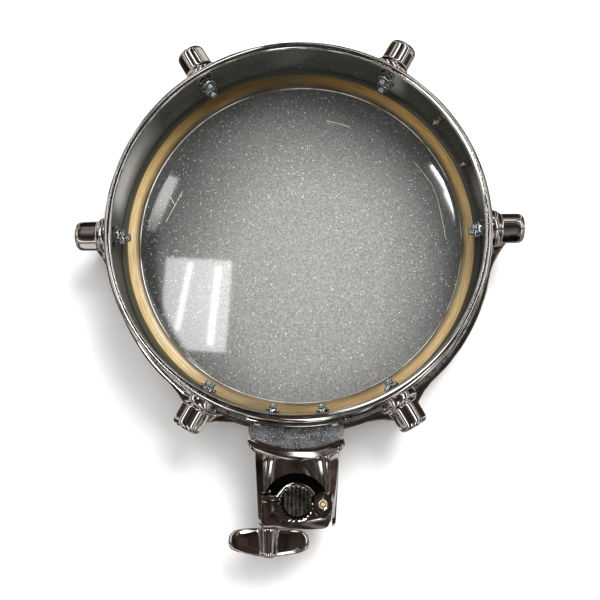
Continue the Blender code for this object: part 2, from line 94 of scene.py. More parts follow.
class Nodes:
    """A node tree, with short calls to add and join its nodes."""

    def __init__(self, tree, coordinate):
        self.tree = tree
        self.position = self.add("ShaderNodeTexCoord").outputs[coordinate]

    def fill(self, socket, value):
        """Links another node's output to a socket, or gives the socket a fixed value or colour."""
        if isinstance(value, bpy.types.NodeSocket):
            self.tree.links.new(value, socket)
        elif socket.type == "RGBA":
            socket.default_value = (*value, 1)
        else:
            socket.default_value = value

    def add(self, kind, inputs=(), **settings):
        node = self.tree.nodes.new(kind)
        for key, value in settings.items():
            setattr(node, key, value)
        for key, value in dict(inputs).items():
            self.fill(node.inputs[key], value)
        return node

    def math(self, operation, *values):
        return self.add("ShaderNodeMath", dict(enumerate(values)), operation=operation).outputs[0]

    def vector_math(self, operation, *values, output="Vector"):
        return self.add("ShaderNodeVectorMath", dict(enumerate(values)), operation=operation).outputs[output]

    def length(self, vector, weights):
        """A vector's length after each of its directions has been scaled."""
        return self.vector_math("LENGTH", self.vector_math("MULTIPLY", vector, weights), output="Value")

    def join(self, x=0.0, y=0.0, z=0.0):
        return self.add("ShaderNodeCombineXYZ", {"X": x, "Y": y, "Z": z}).outputs[0]

    def parts(self):
        return self.add("ShaderNodeSeparateXYZ", {0: self.position}).outputs

    def noise(self, scale, detail=2.0, vector=None, rough=0.5):
        inputs = {"Vector": vector or self.position, "Scale": scale, "Detail": detail, "Roughness": rough}
        return self.add("ShaderNodeTexNoise", inputs).outputs["Fac"]

    def ramp(self, value, stops, interpolation="LINEAR"):
        node = self.add("ShaderNodeValToRGB", {"Fac": value})
        ramp = node.color_ramp
        ramp.interpolation = interpolation
        while len(ramp.elements) < len(stops):
            ramp.elements.new(0.5)
        for element, (place, colour) in zip(ramp.elements, stops):
            element.position = place
            element.color = (*colour, 1)
        return node.outputs["Color"]

    def grey_ramp(self, value, low, high, at=(0.3, 0.7)):
        return self.ramp(value, [(at[0], (low,) * 3), (at[1], (high,) * 3)])

    def mask(self, value, start, end):
        """0 up to the start and 1 from the end on."""
        return self.grey_ramp(value, 0.0, 1.0, (start, end))

    def mix(self, factor, first, second, blend="MIX"):
        inputs = {0: factor, 6: first, 7: second}
        return self.add("ShaderNodeMix", inputs, data_type="RGBA", blend_type=blend).outputs[2]


class Shader(Nodes):
    """One material's node tree. Its radius, angle and height are about the piece's own origin."""

    def __init__(self, name, colour, metallic=0.0, roughness=0.5, **sockets):
        self.material = bpy.data.materials.new(name)
        self.material.use_nodes = True
        super().__init__(self.material.node_tree, "Object")
        self.bsdf = self.tree.nodes["Principled BSDF"]
        self.bsdf.inputs["Base Color"].default_value = (*colour, 1)
        self.bsdf.inputs["Metallic"].default_value = metallic
        self.bsdf.inputs["Roughness"].default_value = roughness
        for key, value in sockets.items():
            self.bsdf.inputs[key.replace("_", " ")].default_value = value

    def radius(self):
        return self.length(self.position, (1, 1, 0))

    def angle(self):
        parts = self.parts()
        return self.math("ARCTAN2", parts["Y"], parts["X"])

    def turn(self):
        """The angle as a share of a full turn, counted from the left."""
        return self.math("DIVIDE", self.math("ADD", self.angle(), math.pi), math.tau)

    def height(self):
        return self.parts()["Z"]

    def to(self, socket, value):
        self.tree.links.new(value, self.bsdf.inputs[socket])

    def bump(self, value, strength, distance):
        made = self.add("ShaderNodeBump", {"Height": value, "Strength": strength, "Distance": distance})
        self.to("Normal", made.outputs["Normal"])


def edge_glint_material():
    """A painted glint: a pale broken line where the ring meets the film."""
    made = Shader("painted_edge_glint", (0.8, 0.8, 0.75), 0.0, 0.3)
    stops = [(0.40, (0.16, 0.14, 0.10)), (0.55, (0.95, 0.95, 0.90))]
    made.to("Base Color", made.ramp(made.noise(40, 3), stops))
    return made.material


def chrome_material(name="chrome", colour=(0.66, 0.62, 0.59), roughness=0.045):
    """Mirror chrome with faint smears, tiny pits and a slightly wavy plating."""
    made = Shader(name, colour, 1.0, roughness)
    smears = made.grey_ramp(made.noise(90, 4), roughness, roughness + 0.10, (0.35, 0.75))
    made.to("Roughness", smears)
    pits = made.mask(made.noise(1500), 0.62, 0.72)
    made.to("Base Color", made.mix(pits, colour, [tone * 0.55 for tone in colour]))
    made.bump(made.noise(90, 1), 0.03, 0.0006)
    return made.material


def shell_material():
    """Polished steel: brushed round the drum, a little cloudy, with pale specks painted as the mirrored
    film's specks, and pale patches painted as reflections of lamps.
    """
    made = Shader("shell_steel", (0.20, 0.21, 0.19), 0.35, 0.2)
    height = made.height()
    along = made.join(made.math("MULTIPLY", made.angle(), 2.0), made.math("MULTIPLY", height, 900.0))
    brushed = made.noise(1.5, 3, along)
    cloud = made.noise(28, 3)
    rough_patches, rough_lines = made.grey_ramp(cloud, 0.10, 0.26), made.grey_ramp(brushed, 0.10, 0.24)
    made.to("Roughness", made.mix(0.5, rough_patches, rough_lines))
    # Painted reflections: pale patches at set angles round the wall stand in for lamps mirrored in the
    # steel, fading out near the bottom.
    stops = [(0.0, BLACK), (0.512, BLACK), (0.535, HALF), (0.560, BLACK), (0.645, BLACK), (0.661, WHITE),
             (0.675, BLACK), (0.880, BLACK), (0.912, HALF), (0.943, WHITE), (0.962, WHITE), (0.985, BLACK)]
    patches = made.ramp(made.turn(), stops, "EASE")
    fade = made.grey_ramp(height, 0.25, 1.0, (0.018, 0.030))
    tone = made.mix(cloud, (0.105, 0.112, 0.098), (0.17, 0.18, 0.165))
    tone = made.mix(made.math("MULTIPLY", patches, fade), tone, (0.95, 0.97, 0.96))
    # Painted reflection: pale specks where the wall mirrors the film's specks.
    specks = made.mask(made.noise(1100), 0.63, 0.70)
    made.to("Base Color", made.mix(specks, tone, (0.42, 0.43, 0.41)))
    made.bump(brushed, 0.04, 0.0004)
    return made.material


def painted_crevice_shade(made, colour, distance=0.0016):
    """Painted shade: darkens a colour in gaps, threads and corners, by ambient occlusion."""
    open_sky = made.add("ShaderNodeAmbientOcclusion", {"Distance": distance}).outputs["AO"]
    return made.mix(1.0, colour, made.grey_ramp(open_sky, 0.02, 1.0, (0.30, 0.72)), "MULTIPLY")


def zinc_material(name="zinc", dull=(0.60, 0.67, 0.70), bright=(0.92, 0.96, 0.97)):
    """Bluish plating in bright and dull patches, with painted shade in its gaps and threads."""
    made = Shader(name, bright, 1.0, 0.1)
    patches = made.ramp(made.noise(500, 3), [(0.35, dull), (0.6, bright)])
    made.to("Base Color", painted_crevice_shade(made, patches))
    made.to("Roughness", made.grey_ramp(made.noise(900), 0.04, 0.16))
    return made.material


def brass_material():
    made = Shader("brass", (0.90, 0.72, 0.42), 0.5, 0.22)
    patch = made.noise(400, 3)
    patches = made.ramp(patch, [(0.35, (0.72, 0.52, 0.24)), (0.6, (0.95, 0.80, 0.52))])
    # Painted shade darkens the brass in its groove and gaps.
    made.to("Base Color", painted_crevice_shade(made, patches))
    made.to("Roughness", made.grey_ramp(patch, 0.16, 0.34))
    return made.material


def aluminium_material():
    made = Shader("aluminium", (0.72, 0.72, 0.72), 1.0, 0.3)
    made.to("Roughness", made.grey_ramp(made.noise(300, 3), 0.2, 0.42))
    made.to("Base Color", made.grey_ramp(made.noise(160), 0.55, 0.78))
    return made.material


def pocket_shade_material():
    """Painted shade: the nearly black walls and floor of the bracket casting's pocket."""
    made = Shader("pocket_painted_shade", (0.004, 0.004, 0.005), 0.0, 0.7)
    made.to("Base Color", made.grey_ramp(made.noise(300, 3), 0.002, 0.009))
    made.bsdf.inputs["Specular IOR Level"].default_value = 0.15
    return made.material


def rubber_material():
    """Black rubber with grey dust and pale flecks."""
    made = Shader("rubber", (0.06, 0.06, 0.065), 0.0, 0.6)
    dust_stops = [(0.36, (0.012, 0.012, 0.013)), (0.66, (0.105, 0.105, 0.115))]
    dust = made.ramp(made.noise(170, 5, rough=0.75), dust_stops)
    flecks = made.mask(made.noise(1100, 3, rough=0.7), 0.60, 0.66)
    made.to("Base Color", made.mix(flecks, dust, (0.85, 0.85, 0.85)))
    made.to("Roughness", made.grey_ramp(made.noise(200, 3), 0.42, 0.75))
    made.bump(made.noise(900, 4), 0.35, 0.0003)
    return made.material


def ply_face(made, radius, grain):
    """Fine concentric plies between darker glue lines, under a cloudy varnish."""
    plies = made.math("PINGPONG", made.math("MULTIPLY", radius, 1.0 / PLY_SPACING), 1.0)
    wood_stops = [(0.30, (0.20, 0.13, 0.05)), (0.46, (0.60, 0.45, 0.24)), (0.64, (0.95, 0.84, 0.62))]
    glue = made.ramp(plies, [(0.05, (0.34, 0.25, 0.14)), (0.20, WHITE)])
    lined = made.mix(0.65, made.ramp(grain, wood_stops), glue, "MULTIPLY")
    return made.mix(made.grey_ramp(made.noise(9), 0.0, 0.35), lined, (0.70, 0.52, 0.24))


def ply_painted_light(made):
    """Painted light and shade round the ring: dark where the wall shades the top, pale and golden where
    light and lamp reflections fall.
    """
    stops = [(0.0, (0.80, 0.76, 0.66)), (0.12, (0.85, 0.80, 0.70)), (0.20, (0.28, 0.25, 0.19)),
             (0.25, (0.32, 0.28, 0.21)), (0.32, (0.48, 0.42, 0.33)), (0.45, (1.0, 0.94, 0.80)),
             (0.56, (0.95, 0.80, 0.52)), (0.64, (0.74, 0.56, 0.32)), (0.70, (0.36, 0.26, 0.13)),
             (0.76, (0.13, 0.10, 0.055)), (0.84, (0.22, 0.17, 0.09)), (0.92, (0.60, 0.52, 0.38)),
             (1.0, (0.80, 0.76, 0.66))]
    return made.ramp(made.turn(), stops)


def ply_material():
    """Varnished plywood: fine concentric plies on its face under painted light and shade, and dark layers on
    its inner side, painted darker still as shade.
    """
    made = Shader("plywood", (0.62, 0.46, 0.26), 0.0, 0.34, Coat_Weight=0.8, Coat_Roughness=0.10)
    radius, angle, height = made.radius(), made.angle(), made.height()
    along = made.join(made.math("MULTIPLY", radius, 3600.0), made.math("MULTIPLY", angle, 7.0),
                      made.math("MULTIPLY", height, 2600.0))
    grain = made.noise(1.0, 5, along, 0.7)
    # Painted light and shade round the ring darken and brighten the plies.
    face = made.mix(1.0, ply_face(made, radius, grain), ply_painted_light(made), "MULTIPLY")
    # The inner side: dark layered plies, painted darker still as shade.
    layers = made.join(y=made.math("MULTIPLY", angle, 3.0), z=made.math("MULTIPLY", height, 3200.0))
    shaded_side_stops = [(0.38, (0.025, 0.015, 0.005)), (0.5, (0.055, 0.035, 0.013)), (0.62, (0.13, 0.09, 0.035))]
    side = made.ramp(made.noise(1.0, 2, layers), shaded_side_stops)
    inner = made.grey_ramp(radius, 1.0, 0.0, (RING_INNER + 0.0014, RING_INNER + 0.0020))
    made.to("Base Color", made.mix(inner, face, side))
    made.to("Roughness", made.grey_ramp(grain, 0.24, 0.44))
    made.bump(grain, 0.10, 0.0004)
    return made.material


def bead_material():
    """Dark olive adhesive, painted darker to black towards the steel as shade in the corner."""
    made = Shader("sealant", (0.03, 0.03, 0.02), 0.0, 0.4, Coat_Weight=0.25, Coat_Roughness=0.12)
    across = made.math("DIVIDE", made.math("SUBTRACT", made.radius(), BEAD_INNER), BEAD_WIDTH)
    waver = made.math("MULTIPLY", made.math("SUBTRACT", made.noise(14), 0.5), 0.35)
    # Painted shade: the stops darken towards the steel wall.
    stops = [(0.0, (0.10, 0.075, 0.030)), (0.28, (0.045, 0.036, 0.016)), (0.55, (0.020, 0.018, 0.009)),
             (0.85, (0.006, 0.006, 0.004))]
    made.to("Base Color", made.ramp(made.math("ADD", across, waver), stops))
    return made.material


def film_wall_shade(made):
    """Painted shade: the film's dull dark margin on the left, where the shell wall darkens it, between a
    shifted circle and the ring.
    """
    reach = made.length(made.vector_math("ADD", made.position, (-0.002, 0.012, 0)), (1, 1, 0))
    left = made.ramp(made.turn(), [(0.17, WHITE), (0.24, BLACK), (0.955, BLACK), (0.99, WHITE)])
    return made.math("MULTIPLY", made.grey_ramp(reach, 0.0, 0.85, (0.1030, 0.1038)), left)


def film_specks(made, colour, cloud):
    """Pale round specks of three sizes, the larger the brighter, fainter where the painted shade is dark."""
    for scale, limit, pale in ((1000, 0.36, 0.42), (640, 0.25, 0.70), (400, 0.15, 1.0)):
        cells = {"Vector": made.position, "Scale": scale, "Randomness": 1.0}
        cell = made.add("ShaderNodeTexVoronoi", cells)
        chance = made.add("ShaderNodeSeparateColor", {0: cell.outputs["Color"]}).outputs[0]
        size = made.math("MULTIPLY", made.math("POWER", chance, 3.0), limit)
        spot = made.math("LESS_THAN", cell.outputs["Distance"], size)
        seen = made.math("MULTIPLY", spot, made.grey_ramp(cloud, 1.0, 0.55, (0.5, 1.0)))
        colour = made.mix(seen, colour, (pale, pale, pale * 0.97))
    return colour


def film_material():
    """Glossy smoky film: a soft grey cloud of painted light, brightest near the middle and darkening towards
    the edge, with dense pale specks of several sizes.
    """
    made = Shader("film", (0.2, 0.2, 0.2), 0.0, 0.45, Coat_Weight=1.0, Coat_Roughness=0.035, Coat_IOR=1.6)
    # Painted light: the cloud is brightest just off the middle and darkens towards the edge, where the shell
    # shades the film.
    away = made.length(made.vector_math("ADD", made.position, (-0.008, 0.026, 0)), (1.0, 0.82, 0))
    drift = made.math("MULTIPLY", made.noise(11, 4), 0.22)
    cloud = made.math("ADD", made.math("MULTIPLY", away, 7.4), drift)
    stops = [(0.20, (0.285, 0.285, 0.27)), (0.50, (0.255, 0.255, 0.245)), (0.74, (0.14, 0.142, 0.137)),
             (0.98, (0.045, 0.047, 0.044))]
    # Painted shade from the shell wall on the left, where the film's coat is also taken off.
    wall_shade = film_wall_shade(made)
    tone = made.mix(wall_shade, made.ramp(cloud, stops), (0.014, 0.014, 0.013))
    grain = made.grey_ramp(made.noise(620, 3, rough=0.85), 0.30, 1.0, (0.34, 0.60))
    made.to("Base Color", film_specks(made, made.mix(0.75, tone, grain, "MULTIPLY"), cloud))
    made.to("Coat Weight", made.math("SUBTRACT", 1.0, wall_shade))
    made.bump(made.noise(6, 1), 0.02, 0.002)
    return made.material


def scratch_material():
    made = Shader("scratch", (0.75, 0.68, 0.46), 0.0, 0.5)
    stops = [(0.35, (0.30, 0.29, 0.22)), (0.6, (0.85, 0.78, 0.55))]
    made.to("Base Color", made.ramp(made.noise(700), stops))
    return made.material


def liner_material():
    """Dark worn metal of the ribbed pad in the socket."""
    made = Shader("socket_liner", (0.12, 0.11, 0.095), 0.7, 0.3)
    stops = [(0.35, (0.05, 0.047, 0.04)), (0.65, (0.22, 0.20, 0.17))]
    made.to("Base Color", made.ramp(made.noise(260, 3), stops))
    made.to("Roughness", made.grey_ramp(made.noise(500), 0.2, 0.45))
    return made.material


CHROME = chrome_material()
RIM_CHROME = chrome_material("rim_chrome", (0.70, 0.685, 0.67), 0.05)
STEEL = shell_material()
ZINC = zinc_material()
DULL_SCREW = zinc_material("dull_screw", (0.42, 0.33, 0.25), (0.85, 0.72, 0.60))
BRASS = brass_material()
ALUMINIUM = aluminium_material()
POCKET_SHADE = pocket_shade_material()
RUBBER = rubber_material()
PLY = ply_material()
BEAD = bead_material()
FILM = film_material()
SCRATCH = scratch_material()
EDGE_GLINT = edge_glint_material()
LINER = liner_material()


# -------- mesh tools

def rounded(points, radius, steps=4, closed=True):
    """Rounds the corners of an outline with short curves, no longer than a third of the sides."""
    made = []
    count = len(points)
    for index, corner in enumerate(points):
        if not closed and index in (0, count - 1):
            made.append(tuple(corner))
            continue
        here = Vector(corner)
        before, after = Vector(points[index - 1]) - here, Vector(points[(index + 1) % count]) - here
        start = here + before * min(0.33, radius / max(before.length, 1e-9))
        end = here + after * min(0.33, radius / max(after.length, 1e-9))
        for step in range(steps + 1):
            t = step / steps
            made.append(tuple(start * (1 - t) ** 2 + here * 2 * t * (1 - t) + end * t * t))
    return made


def skin(bm, rings, closed_loop=False):
    """Joins rings of points with quads; an open row of rings is capped at both ends."""
    rows = [[bm.verts.new(point) for point in ring] for ring in rings]
    pairs = list(zip(rows, rows[1:])) + ([(rows[-1], rows[0])] if closed_loop else [])
    for low, high in pairs:
        for i in range(len(low)):
            j = (i + 1) % len(low)
            bm.faces.new((low[i], low[j], high[j], high[i]))
    if not closed_loop:
        bm.faces.new(rows[0])
        bm.faces.new(rows[-1])


def solid(*parts, closed_loop=False):
    """A shape made of one or more rows of rings."""
    bm = bmesh.new()
    for rings in parts:
        skin(bm, rings, closed_loop)
    return bm


def mesh_object(name, bm, material, smooth_angle=30.0):
    bmesh.ops.remove_doubles(bm, verts=bm.verts, dist=1e-7)
    bmesh.ops.recalc_face_normals(bm, faces=bm.faces)
    mesh = bpy.data.meshes.new(name)
    bm.to_mesh(mesh)
    bm.free()
    shade(mesh, smooth_angle)
    mesh.materials.append(material)
    return linked(name, mesh)


def shade(mesh, angle):
    """Smooth shading that keeps the edges crisp where faces meet at more than the angle, in degrees."""
    mesh.shade_smooth()
    mesh.set_sharp_from_angle(angle=math.radians(angle))


def linked(name, data):
    """A new object in the scene that shows a mesh, a curve, a lamp or a camera."""
    made = bpy.data.objects.new(name, data)
    bpy.context.scene.collection.objects.link(made)
    return made


def bare_mesh(obj):
    """Takes the mesh of a pattern piece that is placed several times, and drops the piece."""
    mesh = obj.data
    bpy.data.objects.remove(obj)
    return mesh


def settle(obj, body, slot, *replaced, at=(0, 0, 0), turn=0.0):
    """Places a piece in the frame, says what it rides on and hides the model parts it replaces; the finish
    it is given is not used.
    """
    obj.location = DRUM + Vector(at)
    if turn:
        obj.data = obj.data.copy()
        obj.data.transform(Matrix.Rotation(turn, 4, "Z"))
    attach(obj, body)
    if replaced:
        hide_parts(*replaced)


def lathe_rings(profile_at, segments):
    rings = []
    for step in range(segments):
        angle = math.tau * step / segments
        rings.append([(r * math.cos(angle), r * math.sin(angle), z) for r, z in profile_at(angle)])
    return rings


def lathe(name, profile_at, segments, material):
    bm = solid(lathe_rings(profile_at, segments), closed_loop=True)
    return mesh_object(name, bm, material)


def circle(radius, z, segments):
    steps = [math.tau * step / segments for step in range(segments)]
    return [(radius * math.cos(angle), radius * math.sin(angle), z) for angle in steps]


def turned_rings(sections, sides):
    """Rings round local +X at (distance, radius)."""
    return [[(along, y, z) for y, z, _ in circle(radius, 0, sides)] for along, radius in sections]


def thread_rings(start, end, radius, pitch, depth, sides=20, per_turn=6):
    """A helical thread along +X as rings whose radius rises and falls with the turn."""
    rows = max(2, int(abs(end - start) / pitch * per_turn))
    rings = []
    for row in range(rows + 1):
        along = start + (end - start) * row / rows
        fade = min(1.0, row / 4, (rows - row) / 4)
        ring = []
        for side in range(sides):
            turn = along / pitch - side / sides
            wave = abs((turn % 1.0) - 0.5) * 2
            r = radius - depth * wave * fade - depth * 0.4 * (1 - fade)
            angle = math.tau * side / sides
            ring.append((along, r * math.cos(angle), r * math.sin(angle)))
        rings.append(ring)
    return rings


def hex_rings(start, end, flats, sides=48, chamfer=0.0007):
    """A hexagon nut's body along +X, its corners turned down at both ends."""
    half = flats / 2
    rings = []
    for along, limit in ((start, 0.97), (start + chamfer * 0.5, 1.05), (start + chamfer, 1.2),
                         (end - chamfer, 1.2), (end - chamfer * 0.5, 1.05), (end, 0.97)):
        ring = []
        for side in range(sides):
            angle = math.tau * side / sides
            folded = (angle + math.pi / 6) % (math.pi / 3) - math.pi / 6
            r = half * min(1 / math.cos(folded), limit)
            ring.append((along, r * math.cos(angle), r * math.sin(angle)))
        rings.append(ring)
    return rings


def stand(rings):
    """Turns rings that lie along +X so that they stand along +Z."""
    return [[(-z, y, x) for x, y, z in ring] for ring in rings]


def cylinder_rings(start, end, radius, sides=48):
    start, end = Vector(start), Vector(end)
    turn = (end - start).to_track_quat("X", "Z").to_matrix().to_4x4()
    rings = turned_rings([(0, radius), ((end - start).length, radius)], sides)
    return [[Matrix.Translation(start) @ turn @ Vector(point) for point in ring] for ring in rings]


def slab_rings(outline, levels, inset=0.0):
    """An outline at several levels; the first and last are drawn in a little."""
    count = len(outline)
    centre = Vector((sum(x for x, y in outline) / count, sum(y for x, y in outline) / count))
    rings = []
    for index, z in enumerate(levels):
        shrink = 1.0 - inset if index in (0, len(levels) - 1) else 1.0
        rings.append([(*(centre + (Vector(point) - centre) * shrink), z) for point in outline])
    return rings


def apply_modifiers(obj):
    bpy.context.view_layer.update()
    graph = bpy.context.evaluated_depsgraph_get()
    mesh = bpy.data.meshes.new_from_object(obj.evaluated_get(graph))
    obj.modifiers.clear()
    obj.data = mesh


def boolean(target, rings, operation="DIFFERENCE"):
    """Cuts away or joins the closed shape that the rings make, and applies the result."""
    other = mesh_object("tool_shape", solid(rings), target.data.materials[0])
    modifier = target.modifiers.new("boolean", "BOOLEAN")
    modifier.operation = operation
    modifier.solver = "EXACT"
    modifier.object = other
    apply_modifiers(target)
    bpy.data.objects.remove(other)


def soften(obj, width, segments=2, angle=30.0):
    """Rounds the sharp edges of a piece and shades it smooth."""
    bevel = obj.modifiers.new("soften", "BEVEL")
    bevel.width = width
    bevel.segments = segments
    bevel.limit_method = "ANGLE"
    bevel.angle_limit = math.radians(angle)
    bevel.harden_normals = False
    apply_modifiers(obj)
    shade(obj.data, 40)


# -------- drum

def shell_profile():
    """The steel wall with its inward-turned bearing edges."""
    outer = [(0.1270, 0.0150), (0.1270, 0.0572)]
    lip = [(0.1262, 0.0592), (0.1243, 0.0600), (0.1222, 0.0595), (0.1214, 0.0584)]
    under = [(0.1224, 0.0579), (0.1243, 0.0588), (0.1254, 0.0581), (0.1258, 0.0566)]
    foot = [(0.1258, 0.0160), (0.1252, 0.0143), (0.1235, 0.0135), (0.1218, 0.0140)]
    edge = [(0.1214, 0.0130), (0.1226, 0.0119), (0.1245, 0.0113), (0.1262, 0.0124)]
    return rounded(outer + lip + under + foot + edge, 0.0012, 4)


def make_shell():
    """The shell; its lip and its outside are plated, and its inner wall is polished steel."""
    lip_start, outside = 0.0560, SHELL_R - 0.0005
    profile = shell_profile()
    shell = lathe("steel_shell_polished", lambda angle: profile, 288, STEEL)
    shell.data.materials.append(RIM_CHROME)
    for face in shell.data.polygons:
        if face.center.z > lip_start or math.hypot(face.center.x, face.center.y) > outside:
            face.material_index = 1
    settle(shell, "drum", "shell_steel", "steel_shell")


def make_ring():
    """Plywood ring with eased edges, and the glue that bonds it to the steel's lower edge."""
    square = [(RING_INNER, RING_LOW), (RING_OUTER, RING_LOW), (RING_OUTER, RING_TOP), (RING_INNER, RING_TOP)]
    profile = rounded(square, 0.0004, 3)
    ring = lathe("plywood_ring_varnished", lambda angle: profile, 288, PLY)
    ring.visible_glossy = False
    settle(ring, "drum", "plywood", "plywood_ring")
    # A pale broken line where the ring meets the film: a painted glint along the ring's lower edge.
    line = [(0.11275, 0.01105), (0.1132, 0.01105), (0.1132, 0.0116), (0.1129, 0.0116)]
    settle(lathe("ring_edge_glint_line", lambda angle: line, 288, EDGE_GLINT), "drum", "sealant")
    corner = [(BEAD_INNER, 0.0146), (0.1235, 0.0140), (0.1247, 0.0146), (BEAD_INNER + BEAD_WIDTH, 0.0166),
              (0.1246, 0.0161), (0.1228, 0.0154), (BEAD_INNER, 0.0153)]
    glue = rounded(corner, 0.0008, 3)
    bead = lathe("ring_adhesive_fillet", lambda angle: glue, 240, BEAD)
    settle(bead, "drum", "sealant", "ring_adhesive_bead")


def make_head():
    """The film with its collar, and the flesh hoop that grips it."""
    top = [(0.04, HEAD_Z), (0.08, HEAD_Z), (0.11, HEAD_Z), (0.1245, HEAD_Z), (0.1264, 0.0117)]
    bottom = [(0.1273, 0.0136), (0.1273, 0.0143), (0.1276, 0.0143), (0.1276, 0.0135), (0.1266, 0.0113)]
    under = [(0.1245, HEAD_Z - FILM_THICK), (0.06, HEAD_Z - FILM_THICK)]
    rings = [circle(radius, z, 192) for radius, z in top + bottom + under]
    head = mesh_object("batter_head_clear", solid(rings), FILM, 25)
    settle(head, "drum", "film", "batter_head_film")
    flesh = rounded([(0.1276, 0.0147), (0.1305, 0.0147), (0.1305, 0.0190), (0.1276, 0.0190)], 0.0006, 3)
    hoop = lathe("flesh_hoop_rolled", lambda angle: flesh, 192, ALUMINIUM)
    settle(hoop, "drum", "aluminium", "flesh_hoop")


def ear_reach(angle):
    """How far the hoop's flange stands out at one angle: 1 at a lug, falling away in a hollow curve."""
    step = math.tau / 6
    away = abs((angle + step / 2) % step - step / 2)
    flat, foot = math.radians(2.0), math.radians(12.5)
    if away <= flat:
        return 1.0 - 0.10 * (away / flat) ** 2
    if away >= foot:
        return 0.0
    return 0.90 * (1 - (away - flat) / (foot - flat)) ** 2.1


def hoop_profile(angle):
    round_edge, ear_edge = 0.1335, 0.1440
    ear = round_edge + (ear_edge - round_edge) * ear_reach(angle)
    rim = [(0.1290, 0.0), (0.1332, 0.0), (0.1340, 0.0009), (0.1332, 0.0018), (0.1303, 0.0020)]
    wall = [(0.1301, 0.0120), (0.1325, 0.0126), (0.1327, 0.0178), (ear, 0.0180), (ear, 0.0199)]
    inside = [(0.1308, 0.0199), (0.1308, 0.0143), (0.1284, 0.0141), (0.1282, 0.0008)]
    return rounded(rim + wall + inside, 0.0007, 3)


def make_hoop():
    settle(lathe("batter_hoop_flanged", hoop_profile, 480, CHROME), "drum", "chrome", "batter_hoop")


def thin_line(name, route, thickness=0.00022, lift=0.00003):
    curve = bpy.data.curves.new(name, "CURVE")
    curve.dimensions = "3D"
    curve.bevel_depth = thickness
    curve.bevel_resolution = 1
    curve.use_fill_caps = True
    spline = curve.splines.new("NURBS")
    spline.points.add(len(route) - 1)
    spline.use_endpoint_u = True
    spline.order_u = min(3, len(route))
    for point, (x, y) in zip(spline.points, route):
        point.co = (x, y, HEAD_Z + lift, 1)
        point.radius = 0.8
    curve.materials.append(SCRATCH)
    return linked(name, curve)


def make_scratches():
    """Fine pale scratches on the film, as hair-thin raised lines."""
    routes = {
        "film_scratch_long": [(0.0820, 0.0560), (0.0905, 0.0450), (0.0955, 0.0366), (0.0998, 0.0180),
                              (0.1022, 0.0)],
        "film_scratch_top": [(0.020, 0.0883), (0.026, 0.0870), (0.0368, 0.0832)],
        "film_scratch_fork": [(-0.0951, 0.0161), (-0.0888, 0.0284), (-0.0832, 0.0385)],
        "film_scratch_fork_short": [(-0.0888, 0.0284), (-0.0925, 0.0345)],
    }
    for name, route in routes.items():
        settle(thin_line(name, route), "drum", "film")


# -------- lugs and fasteners

def lug_mesh():
    """Turret post on a domed round foot; its outer end is rounded, and the rod's hole is cut from below."""
    foot = [(0.1262, 0.0), (0.1262, 0.0119), (0.1275, 0.0123), (0.1300, 0.0123), (0.1318, 0.0119)]
    neck = [(0.1330, 0.0111), (0.1338, 0.0103), (0.1342, 0.0100), (0.1350, 0.00985)]
    post = [(0.1440, 0.0098), (0.1468, 0.0097), (0.1482, 0.0092), (0.1491, 0.0083), (LUG_TIP, 0.0068)]
    profile = rounded(foot + neck + post + [(LUG_TIP, 0.0)], 0.0008, 4, closed=False)
    rings = turned_rings([point for point in profile if point[1] > 1e-6], 72)
    made = mesh_object("lug_pattern", solid(rings), CHROME, 35)
    boolean(made, cylinder_rings((ROD_R, 0, -0.012), (ROD_R, 0, 0.0060), 0.0043, 32))
    shade(made.data, 35)
    return bare_mesh(made)


def spring_washer_rings(inward, scale):
    """One split coil of square wire, its ends a little apart."""
    inner, outer, height = 0.0033 * scale, 0.0051 * scale, 0.0011 * scale
    rows = 40
    rings = []
    for row in range(rows + 1):
        angle = math.tau * 0.94 * row / rows
        lift = inward(0.0012 + 0.0005 * row / rows)
        section = ((inner, 0.0), (outer, 0.0), (outer, height), (inner, height))
        rings.append([(lift - up, r * math.cos(angle), r * math.sin(angle)) for r, up in section])
    return rings


def wall_bolt_mesh(name, scale=1.0, face=0.1250, shank_end=0.1262):
    """Flat washer, split spring washer, chamfered nut and threaded stud end, facing the drum's axis."""

    def inward(distance):
        return face - distance * scale

    def turned(sections, sides):
        return turned_rings([(inward(distance), radius * scale) for distance, radius in sections], sides)

    washer = turned([(0.0, 0.0056), (0.0001, 0.0060), (0.0009, 0.0060), (0.0010, 0.0057)], 40)
    nut = hex_rings(inward(0.0066), inward(0.0029), 0.0088 * scale, 48, 0.0008 * scale)
    collar = turned([(0.0067, 0.0029), (0.0060, 0.0029)], 32)
    thread = thread_rings(inward(0.0098), inward(0.0060), 0.0027 * scale, 0.0010, 0.0005, 24, 6)
    end = turned([(0.0100, 0.0017), (0.0097, 0.0021)], 24)
    shank = turned_rings([(inward(0.0004), 0.0021 * scale), (shank_end, 0.0021 * scale)], 20)
    spring = spring_washer_rings(inward, scale)
    return bare_mesh(mesh_object(name, solid(washer, spring, nut, collar, thread, end, shank), ZINC, 28))


def rod_mesh():
    """Square-headed tension rod standing up through the hoop's ear into the lug."""
    half = 0.0026
    square = [(-half, -half), (half, -half), (half, half), (-half, half)]
    head = slab_rings(rounded(square, 0.0006, 3), [0.0080, 0.0083, 0.0088, 0.0140], 0.16)
    flange = [(0.0139, 0.0033), (0.0142, 0.0042), (0.0150, 0.0045), (0.0157, 0.0044), (0.0160, 0.0040)]
    neck = turned_rings(flange + [(0.0160, 0.0024), (0.0215, 0.0024)], 40)
    thread = thread_rings(0.0210, 0.0455, 0.0025, 0.0009, 0.00035, 24, 6)
    return bare_mesh(mesh_object("rod_pattern", solid(head, stand(neck), stand(thread)), CHROME, 30))


